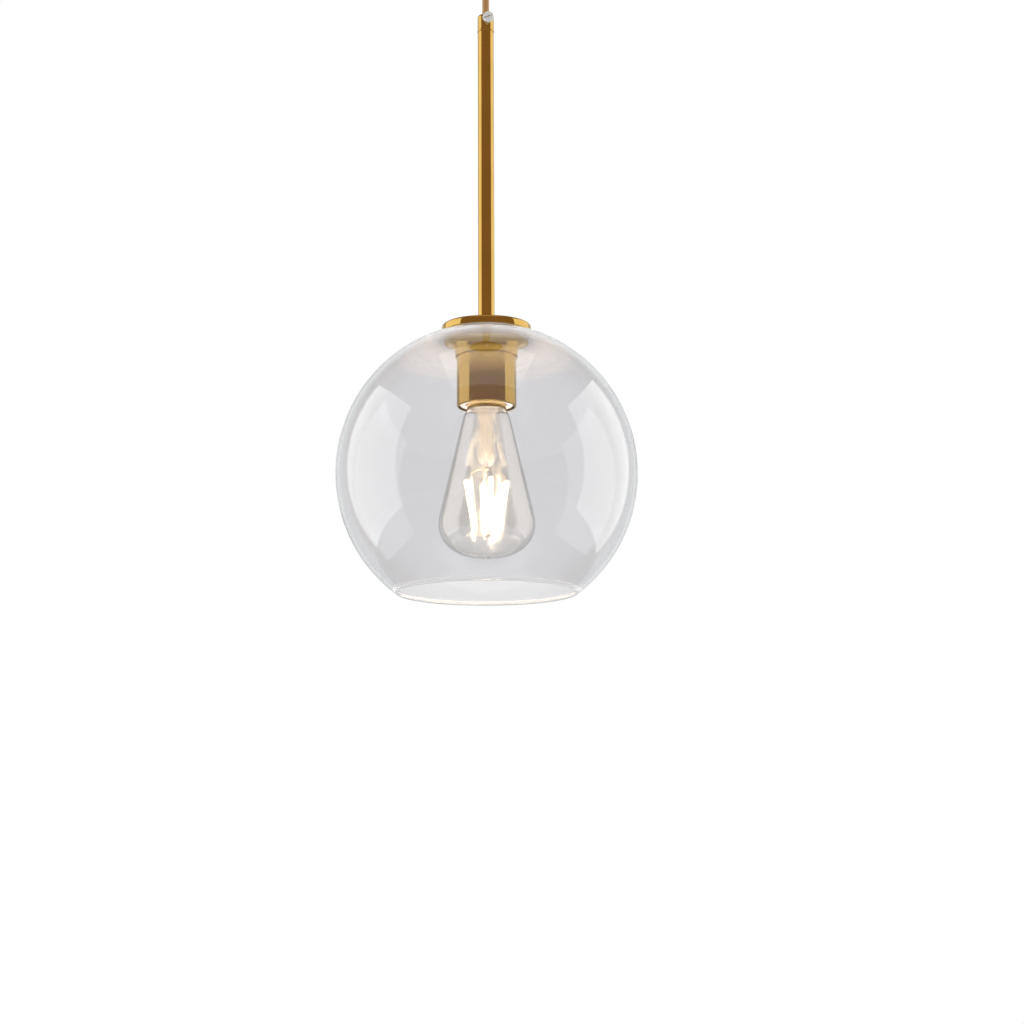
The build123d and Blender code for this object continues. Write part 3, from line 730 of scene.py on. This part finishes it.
# -------------------------------------------------------- cord grips and their lock screws
grip_height = 12 * mm
grip_stub = 9 * mm
grip_bead = 0.2 * mm
bead_height = 1.2 * mm
cord_bore = cord_radius + 0.05 * mm
pipe_pitch = 1.0 * mm
pipe_depth = 0.55 * mm
lock_drop = 3.3 * mm
lock_turn = math.radians(15)
lock_way = Vector((math.sin(lock_turn), -math.cos(lock_turn), 0))
lock_shank = 1.5 * mm
pipe_end = -grip_height - grip_stub
pipe_bevel = 0.6 * mm
pipe_crest = pipe_radius - 0.1 * mm
for node, mouth, way in (("canopy_grip", canopy_mouth, down), ("stem_grip", stem_mouth, up)):
    bead_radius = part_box(node)[1][0]
    grip_radius = bead_radius - grip_bead
    outline = [
        *rounded(
            (cord_bore, 0, 0.4 * mm),
            (grip_radius, 0, 1.5 * mm),
            (grip_radius, bead_height - grip_height, 0.08 * mm),
            (bead_radius, bead_height - grip_height, 0.25 * mm),
            (bead_radius, -grip_height, 0.25 * mm),
            (pipe_radius, -grip_height, 0),
        ),
        *column(pipe_radius, -grip_height - 0.1 * mm, pipe_end + pipe_bevel, pipe_pitch / 5),
        (pipe_radius - pipe_bevel, pipe_end),
        (cord_bore, pipe_end),
    ]
    # Levels run down from the grip's mouth: the thread is cut before the grip is turned over.
    groove = below(-grip_height, thread(pipe_pitch, pipe_depth, pipe_end, -grip_height, pipe_crest))
    turned = aim(lathe(node + "_turned", outline, 96, groove=groove), (0, 0, mouth), way)
    lock_z = mouth - way[2] * lock_drop
    carve(turned, rod((0, 0, lock_z), lock_way, lock_shank + 0.05 * mm, 2 * grip_radius))
    stand_for(turned, node)
    seat = lock_way * (grip_radius + 0.05 * mm) + Vector((0, 0, lock_z))
    screw_node = node + "_lock_screw"
    fasten(
        screw_node + "_clear",
        screw_node,
        [(seat, lock_way)],
        head_radius=3.7 * mm,
        head_height=3.4 * mm,
        shank_radius=lock_shank,
        shank_length=grip_radius - cord_radius,
        dome=0.3,
    )

# -------------------------------------------------------- canopy and its side screws
canopy_low, canopy_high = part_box("canopy")
canopy_radius = canopy_high[0]
canopy_wall = 1.0 * mm
side_low, side_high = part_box("canopy_side_screws")
side_z = (side_low[2] + side_high[2]) / 2
side_head = 5.0 * mm
side_seat = side_high[0] - side_head
bracket_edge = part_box("mounting_bracket")[1][0]
canopy_shell = lathe(
    "canopy_shell",
    rounded(
        (canopy_radius - canopy_wall, canopy_high[2], 0.2 * mm),
        (canopy_radius, canopy_high[2], 0.3 * mm),
        (canopy_radius, canopy_low[2], 2.5 * mm),
        (pipe_hole, canopy_low[2], 0.15 * mm),
        (pipe_hole, canopy_low[2] + canopy_wall, 0),
        (canopy_radius - canopy_wall, canopy_low[2] + canopy_wall, 1.5 * mm),
        steps=8,
    ),
    segments=192,
)
side_hole = 2.3 * mm
across = (-1.2 * canopy_radius, 0, side_z)
carve(canopy_shell, rod(across, (1, 0, 0), side_hole, 2.4 * canopy_radius))
stand_for(canopy_shell, "canopy")
fasten(
    "side_screws",
    "canopy_side_screws",
    [((side * side_seat, 0, side_z), (side, 0, 0)) for side in (-1, 1)],
    head_radius=4.5 * mm,
    head_height=side_head,
    shank_radius=2.0 * mm,
    shank_length=side_seat - bracket_edge + 4.0 * mm,
    dome=0.4,
)

# -------------------------------------------------------- nuts and nipple
nipple_low, nipple_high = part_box("nipple")
nipple_bore = 3.3 * mm
nipple_end = 0.5 * mm
stand_for(
    lathe(
        "threaded_nipple",
        [
            (nipple_bore, nipple_low[2]),
            (pipe_radius - nipple_end, nipple_low[2]),
            *column(
                pipe_radius,
                nipple_low[2] + nipple_end,
                nipple_high[2] - nipple_end,
                pipe_pitch / 5,
            ),
            (pipe_radius - nipple_end, nipple_high[2]),
            (nipple_bore, nipple_high[2]),
        ],
        64,
        groove=thread(pipe_pitch, pipe_depth, nipple_low[2], nipple_high[2], pipe_crest),
    ),
    "nipple",
)

for node in ("canopy_nut", "nipple_nut"):
    low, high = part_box(node)
    corner = max(high[0], high[1])
    flat = corner * math.cos(math.pi / 6)
    hexagon = arc(corner, 0, 2 * math.pi, 6)[:-1]
    bevel = (corner - flat) * math.tan(math.radians(30)) + 0.1 * mm
    face_radius = flat - 0.15 * mm
    outer = corner + 0.05 * mm
    crown = lathe(
        "crown",
        [
            (0, low[2]),
            (face_radius, low[2]),
            (outer, low[2] + bevel),
            (outer, high[2] - bevel),
            (face_radius, high[2]),
            (0, high[2]),
        ],
        96,
    )
    nut = carve(prism(node + "_hex", hexagon, low[2], high[2]), crown, keep="INTERSECT")
    carve(nut, rod((0, 0, low[2] - sheet), up, pipe_hole, high[2] - low[2] + 2 * sheet, 64))
    stand_for(nut, node)

# -------------------------------------------------------- small screws
block_low, block_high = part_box("block_screw")
block_middle = (block_low + block_high) / 2
block_head = 1.75 * mm
fasten(
    "block_screw_slotted",
    "block_screw",
    [((block_middle.x, block_middle.y, block_low.z + block_head), down)],
    head_radius=3.0 * mm,
    head_height=block_head,
    shank_radius=1.5 * mm,
    shank_length=block_high.z - block_low.z - 1.8 * mm,
)
earth_low, earth_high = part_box("earth_screw")
earth_middle = (earth_low + earth_high) / 2
earth_head = 2.4 * mm
fasten(
    "earth_screw_slotted",
    "earth_screw",
    [((earth_middle.x, earth_middle.y, earth_low.z + earth_head), down)],
    head_radius=4.0 * mm,
    head_height=earth_head,
    shank_radius=2.0 * mm,
    shank_length=earth_high.z - earth_low.z - 2.5 * mm,
)

clamp_low, clamp_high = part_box("terminal_screws")
clamp_screw = 1.3 * mm
clamp_head = 0.9 * mm
fasten(
    "clamp_screws",
    "terminal_screws",
    [
        ((x, y, clamp_low.z + clamp_head), down)
        for x in (clamp_low.x + clamp_screw, clamp_high.x - clamp_screw)
        for y in (clamp_low.y + clamp_screw, clamp_high.y - clamp_screw)
    ],
    head_radius=clamp_screw,
    head_height=clamp_head,
    shank_radius=0.95 * clamp_screw,
    shank_length=clamp_high.z - clamp_low.z - clamp_head,
)

small_screw = 1.25 * mm
post_low, post_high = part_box("holder_terminal_screws")
post_head = 1.1 * mm
fasten(
    "post_screws",
    "holder_terminal_screws",
    [
        ((0, y, post_high.z - post_head), up)
        for y in (post_low.y + small_screw, post_high.y - small_screw)
    ],
    head_radius=small_screw,
    head_height=post_head,
    shank_radius=0.95 * small_screw,
    shank_length=post_high.z - post_low.z - post_head,
)
foot_low, foot_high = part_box("strap_screws")
foot_head = 1.5 * mm
foot_head_radius = 1.7 * small_screw
fasten(
    "strap_screws_slotted",
    "strap_screws",
    [
        ((x, 0, foot_high.z - foot_head), up)
        for x in (foot_low.x + foot_head_radius, foot_high.x - foot_head_radius)
    ],
    head_radius=foot_head_radius,
    head_height=foot_head,
    shank_radius=small_screw,
    shank_length=foot_high.z - foot_low.z - foot_head,
)
lug_low, lug_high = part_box("holder_earth_screw")
lug_middle = (lug_low + lug_high) / 2
lug_head = 1.5 * mm
fasten(
    "earth_lug_screw",
    "holder_earth_screw",
    [((lug_low.x + lug_head, lug_middle.y, lug_middle.z), (-1, 0, 0))],
    head_radius=2.2 * small_screw,
    head_height=lug_head,
    shank_radius=small_screw,
    shank_length=lug_high.x - lug_low.x - lug_head,
)

# -------------------------------------------------------- lampholder
holder_low, holder_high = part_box("lampholder_body")
holder_radius = holder_high[1]
shell_low, shell_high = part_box("bulb_shell")
shell_radius = shell_high[1]
screw_pitch = 3.629 * mm  # E27
screw_depth = 0.85 * mm
thread_low = shell_low[2] + 5.0 * mm
thread_gap = 0.05 * mm
liner_low, liner_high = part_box("screw_liner")
liner_wall = 0.4 * mm
liner_inner = shell_radius + thread_gap
liner_outer = liner_inner + liner_wall
porcelain_bore = liner_outer + thread_gap
porcelain_floor = liner_high[2] + thread_gap
post_place = 9.0 * mm
rivet_hole = 1.55 * mm
porcelain = lathe(
    "porcelain_body",
    rounded(
        (porcelain_bore, holder_low[2], 1.0 * mm),
        (holder_radius, holder_low[2], 1.3 * mm),
        (holder_radius, holder_high[2], 1.0 * mm),
        (0, holder_high[2], 0),
        (0, porcelain_floor, 0),
        (porcelain_bore, porcelain_floor, 0.5 * mm),
        steps=8,
    ),
    160,
)
floor_thick = holder_high[2] - porcelain_floor
strap_place = foot_high.x - foot_head_radius
strap_hole = small_screw + thread_gap
rivet_start = porcelain_floor - sheet
strap_start = foot_low.z - 0.3 * mm
rivets = [
    rod((0, side * post_place, rivet_start), up, rivet_hole, floor_thick + 2 * sheet)
    for side in (-1, 1)
]
taps = [
    rod((side * strap_place, 0, strap_start), up, strap_hole, floor_thick) for side in (-1, 1)
]
carve(porcelain, *rivets, *taps)
stand_for(porcelain, "lampholder_body")

leaf_foot = liner_high[2] - 0.6 * mm
leaf_margin = 2.5 * mm
thread_top = shell_high[2] + screw_pitch
thread_step = screw_pitch / 16
liner_tube = lathe(
    "liner_tube",
    [
        *column(liner_inner, liner_low[2], leaf_foot, thread_step),
        *column(liner_outer, leaf_foot, liner_low[2], thread_step),
    ],
    128,
    groove=thread(screw_pitch, screw_depth, thread_low + screw_pitch / 2, thread_top, 0),
)
leaf_start = math.asin((post_place - leaf_margin) / liner_outer)
leaf_outline = arc(liner_outer, leaf_start, math.pi - leaf_start, 40)
leaf = prism("leaf", leaf_outline, leaf_foot, liner_high[2])
carve(leaf, rod((0, post_place, leaf_foot - sheet), up, rivet_hole, 3 * sheet))
stand_for(join("threaded_liner", [liner_tube, leaf]), "screw_liner")

# -------------------------------------------------------- bulb cap
shell_wall = 0.35 * mm
shell_inner = shell_radius - shell_wall
shoulder = 1.6 * mm
shoulder_z = shell_high[2] - shoulder
shoulder_middle = (shell_radius - shoulder - screw_depth, shoulder_z)
stand_for(
    lathe(
        "threaded_shell",
        [
            (shell_radius - 0.1 * mm, shell_low[2]),
            *column(shell_radius, shell_low[2] + 0.1 * mm, shoulder_z, thread_step),
            *arc(shoulder, 0, math.pi / 2, 6, shoulder_middle)[1:],
            (shell_radius - shoulder - 3 * screw_depth, shell_high[2] - shell_wall),
            *column(shell_inner, shoulder_z - 0.3 * mm, shell_low[2], thread_step),
        ],
        160,
        groove=thread(screw_pitch, screw_depth, thread_low, thread_top, shell_radius - 0.5 * mm),
    ),
    "bulb_shell",
)

insulator_low, insulator_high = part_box("bulb_insulator")
tip_low, tip_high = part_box("bulb_tip_contact")
tip_radius = tip_high[1]
stud_radius = 2.8 * mm
stand_for(
    lathe(
        "glass_insulator",
        rounded(
            (stud_radius + thread_gap, insulator_low[2], 0),
            (insulator_high[1], insulator_low[2], 0.3 * mm),
            (tip_radius + 0.4 * mm, insulator_high[2], 0.6 * mm),
            (stud_radius + thread_gap, insulator_high[2], 0),
        ),
        96,
    ),
    "bulb_insulator",
)
stand_for(
    lathe(
        "solder_tip",
        rounded(
            (0, tip_low[2], 0),
            (stud_radius, tip_low[2], 0),
            (stud_radius, insulator_high[2] + thread_gap, 0),
            (tip_radius, insulator_high[2] + thread_gap, 0.15 * mm),
            (tip_radius - 0.4 * mm, tip_high[2], 0.35 * mm),
            (0, tip_high[2], 0),
        ),
        96,
    ),
    "bulb_tip_contact",
)

# -------------------------------------------------------- bulb envelope, mount and filaments
envelope_low, envelope_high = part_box("bulb_envelope")
rim_z = shell_low[2]
bulb_radius = envelope_high[1]
bulb_wall = 0.7 * mm
neck_radius = shell_inner - thread_gap
throat_radius = 11.2 * mm
belly_z = rim_z - 77 * mm
cone_head = (15.6 * mm, rim_z - 4.5 * mm)
cone_foot = (30.6 * mm, rim_z - 68 * mm)
cone_way = (Vector(cone_foot) - Vector(cone_head)).normalized()
nib_height = 1.1 * mm  # the seal at the bulb's foot
nib_radius = 2.4 * mm
foot_z = envelope_low[2] + nib_height
throat = (throat_radius, rim_z + 7 * mm)
neck = (neck_radius, rim_z + 3.5 * mm)
envelope = [
    (throat_radius, envelope_high[2]),
    *sweep(throat, neck, (0, -1), (0, -1), 8),
    *sweep((neck_radius, rim_z), cone_head, (0.1, -1), cone_way, 16),
    *sweep(cone_head, cone_foot, cone_way, cone_way, 30)[1:],
    *sweep(cone_foot, (bulb_radius, belly_z), cone_way, (0, -1), 8)[1:],
    *sweep((bulb_radius, belly_z), (nib_radius, foot_z), (0, -1.05), (-1.5, 0), 40)[1:],
    *sweep((nib_radius, foot_z), (0, envelope_low[2]), (0, -1), (-1, 0), 8)[1:],
]
bulb = stand_for(
    lathe("glass_envelope", [*envelope, *reversed(inset(envelope, -bulb_wall))], 192),
    "bulb_envelope",
)
bulb.visible_shadow = False

mount_low, mount_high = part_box("glass_mount")
mount_radius = 5.0 * mm
mount_wall = 0.9 * mm
flare_radius = throat_radius - bulb_wall - 0.3 * mm
flare_foot = rim_z - 9 * mm
flare_head = mount_high[2] - 1 * mm
mount_inner = mount_radius - mount_wall
flare_inner = flare_radius - mount_wall
pinch_height = 9 * mm
pinch_tip = (mount_radius, mount_low[2] + 0.7 * pinch_height)
pinch_z = mount_low[2] + pinch_height
mount = [
    (flare_radius, mount_high[2]),
    *sweep((flare_radius, flare_head), (mount_radius, flare_foot), (0, -1), (0, -1), 20),
    (mount_radius, pinch_z),
    *sweep(pinch_tip, (0, mount_low[2]), (0, -1), (-0.4, 0), 16),
]
hollow_foot = (0, pinch_z - 3 * mm)
hollow = [
    hollow_foot,
    *sweep(hollow_foot, (mount_inner, pinch_z + 3 * mm), (1, 0), (0, 1), 8)[1:],
    (mount_inner, flare_foot),
    *sweep((mount_inner, flare_foot), (flare_inner, flare_head), (0, 1), (0, 1), 20)[1:],
    (flare_inner, mount_high[2]),
]
pressed = lathe("pressed_mount", [*mount, *hollow], 96)
pinch_flatter = 0.55
pinch_wider = 0.25
for vertex in pressed.data.vertices:
    depth = min(1.0, max(0.0, (pinch_z - vertex.co.z) / pinch_height + 0.25))
    squeeze = depth * depth * (3 - 2 * depth)
    vertex.co.y *= 1 - pinch_flatter * squeeze
    vertex.co.x *= 1 + pinch_wider * squeeze
stand_for(pressed, "glass_mount", finish="filament_glass")

strip_radius = 1.45 * mm
hub_radius = 1.6 * mm
hub_half = 0.9 * mm
hub_round = 0.6 * mm
lead_radius = 0.35 * mm
filament_low, filament_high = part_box("led_filaments")
head_z, toe_z = filament_high[2], filament_low[2]
head_reach, toe_reach = 13.6 * mm, 8.2 * mm
filament_count = 4
filament_turns = [math.radians(12 + 360 / filament_count * i) for i in range(filament_count)]


def spoke(turn, reach, z):
    """Point at a distance from the bulb's axis, in a filament's direction."""
    return Vector((reach * math.cos(turn), reach * math.sin(turn), z))


strips = []
for turn in filament_turns:
    head, toe = spoke(turn, head_reach, head_z), spoke(turn, toe_reach, toe_z)
    length = (head - toe).length
    outline = [
        (0, 0),
        *arc(strip_radius, -math.pi / 2, 0, 6, (0, strip_radius))[1:],
        *arc(strip_radius, 0, math.pi / 2, 6, (0, length - strip_radius)),
    ]
    strips.append(aim(lathe("strip", outline, 24), toe, head - toe))
stand_for(join("glowing_strips", strips), "led_filaments")

for name, node, reach, end_z, side in (
    ("upper_wires", "filament_hanger", head_reach, head_z, 1),
    ("lower_wires", "filament_foot", toe_reach, toe_z, -1),
):
    low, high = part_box(node)
    hub_z = high[2] - hub_half if side > 0 else low[2] + hub_half
    hub_outline = rounded(
        (0, hub_z - hub_half, 0),
        (hub_radius, hub_z - hub_half, hub_round),
        (hub_radius, hub_z + hub_half, hub_round),
        (0, hub_z + hub_half, 0),
    )
    wires = [lathe("hub", hub_outline, 48)]
    for turn in filament_turns:
        route = [
            spoke(turn, 0.8 * hub_radius, hub_z),
            spoke(turn, 0.5 * reach, hub_z),
            spoke(turn, 0.95 * reach, end_z + side * 3.0 * mm),
            spoke(turn, reach, end_z - side * 0.8 * mm),
        ]
        wires.append(as_mesh(tube("arm", route, lead_radius)))
    stand_for(join(name, wires), node)

# -------------------------------------------------------- carried-over pieces
edge_widths = {
    "mounting_bracket": 0.35 * mm,
    "terminal_block": 0.5 * mm,
    "terminal_clamp_live": 0.15 * mm,
    "terminal_clamp_neutral": 0.15 * mm,
    "centre_contact": 0.12 * mm,
    "live_terminal": 0.25 * mm,
    "neutral_terminal": 0.25 * mm,
    "holder_strap": 0.25 * mm,
}
for node, piece in frame["nodes"].items():
    if piece.hide_render:
        continue
    for material_slot in piece.material_slots:
        material_slot.material = materials[slot_of[node]]
    if node in edge_widths:
        soften = piece.modifiers.new("soften", "BEVEL")
        soften.width = edge_widths[node]
        soften.segments = 2
        soften.angle_limit = math.radians(40)
        soften.harden_normals = True

# -------------------------------------------------------- studio
floor_z = -2.5
floor_radius = 6.0
floor_sides = 96
floor_edge = arc(floor_radius, 0, 2 * math.pi, floor_sides)[:-1]
floor = solid("floor", [(x, y, floor_z) for x, y in floor_edge], [tuple(range(floor_sides))])
paper = Nodes("floor_paper", Roughness=0.8)
clouds = paper.noise(3, 3.0)
colour = paper.ramp(clouds, (0.3, (0.80, 0.80, 0.80)), (0.7, (0.84, 0.84, 0.83)))
paper.link("Base Color", colour)
floor.data.materials.append(paper.material)

lamp_middle = Vector((0, 0, globe_centre))


def softbox(name, azimuth, elevation, distance, width, height, watts, colour=(1, 1, 1)):
    """A rectangular light that faces the lamp; azimuth 0 is the camera's side, 90 its right.

    Metal and glass mirror it, but it isn't seen when looked at through glass.
    """
    light = bpy.data.lights.new(name, "AREA")
    light.shape = "RECTANGLE"
    light.size = width
    light.size_y = height
    light.energy = watts
    light.color = colour
    light.use_nodes = True
    tree = light.node_tree
    depths = tree.nodes.new("ShaderNodeLightPath").outputs
    through = maths(tree, "GREATER_THAN", depths["Transmission Depth"], 0.5)
    unmirrored = maths(tree, "LESS_THAN", depths["Glossy Depth"], 0.5)
    hidden = maths(tree, "MULTIPLY", through, unmirrored)
    shown = maths(tree, "SUBTRACT", 1.0, hidden)
    tree.links.new(shown, tree.nodes["Emission"].inputs["Strength"])
    holder = bpy.data.objects.new(name, light)
    turn = math.radians(azimuth)
    rise = math.radians(elevation)
    level = math.cos(rise)
    away = Vector((math.sin(turn) * level, -math.cos(turn) * level, math.sin(rise)))
    holder.location = lamp_middle + away * distance
    holder.rotation_euler = away.to_track_quat("Z", "Y").to_euler()
    holder.visible_camera = False
    bpy.context.scene.collection.objects.link(holder)


for name, azimuth in (("left_softbox", -99), ("right_softbox", 106)):
    softbox(
        name,
        azimuth,
        elevation=8,
        distance=1.8,
        width=2.0,
        height=2.4,
        watts=17.0,
        colour=(0.95, 1.0, 0.985),
    )
softbox("overhead_fill", 0, elevation=80, distance=2.0, width=1.6, height=1.6, watts=4.0)

glow = bpy.data.lights.new("filament_glow", "POINT")
glow.energy = 0.6
glow.color = (1.0, 0.86, 0.72)
glow.shadow_soft_size = 12 * mm
glow_holder = bpy.data.objects.new("filament_glow", glow)
glow_holder.location = (0, 0, (head_z + toe_z) / 2)
glow_holder.visible_camera = False
glow_holder.visible_glossy = False
glow_holder.visible_transmission = False
bpy.context.scene.collection.objects.link(glow_holder)

# The backdrop is white wherever it is seen straight or through glass, and metal mirrors a dim,
# warm room with a paler wall behind the lamp.
world = bpy.data.worlds.new("studio")
bpy.context.scene.world = world
world.use_nodes = True
sky = world.node_tree
paths = sky.nodes.new("ShaderNodeLightPath").outputs


def mixed(factor, first, last):
    """A world node that goes from one colour to another."""
    node = sky.nodes.new("ShaderNodeMix")
    node.data_type = "RGBA"
    plug(sky, node.inputs["Factor"], factor)
    plug(sky, node.inputs["A"], first)
    plug(sky, node.inputs["B"], last)
    return node.outputs["Result"]


white = (1.0, 1.0, 1.0, 1.0)
soft_grey = (0.75, 0.75, 0.75, 1.0)
warm_room = (0.31, 0.19, 0.11, 1.0)
pale_wall = (0.74, 0.76, 0.76, 1.0)
unmirrored = maths(sky, "LESS_THAN", paths["Glossy Depth"], 0.5)
entered_glass = maths(sky, "GREATER_THAN", paths["Transmission Depth"], 0.5)
left_by_same_wall = maths(sky, "LESS_THAN", paths["Transmission Depth"], 3.5)
inside_wall = maths(sky, "MULTIPLY", entered_glass, left_by_same_wall)
straight = maths(sky, "MAXIMUM", unmirrored, inside_wall)
scattered = maths(sky, "GREATER_THAN", paths["Diffuse Depth"], 0.5)
way = sky.nodes.new("ShaderNodeSeparateXYZ")
sky.links.new(sky.nodes.new("ShaderNodeTexCoord").outputs["Generated"], way.inputs["Vector"])
wall = sky.nodes.new("ShaderNodeMapRange")
wall.interpolation_type = "SMOOTHSTEP"
wall.inputs["From Min"].default_value = 0.62  # its soft edge, by how far a ray points back
wall.inputs["From Max"].default_value = 0.80
sky.links.new(way.outputs["Y"], wall.inputs["Value"])
room = mixed(wall.outputs["Result"], warm_room, pale_wall)
view = mixed(straight, room, white)
lit_view = mixed(scattered, view, soft_grey)
sky.links.new(lit_view, sky.nodes["Background"].inputs["Color"])
bpy.context.scene.view_settings.view_transform = "Standard"
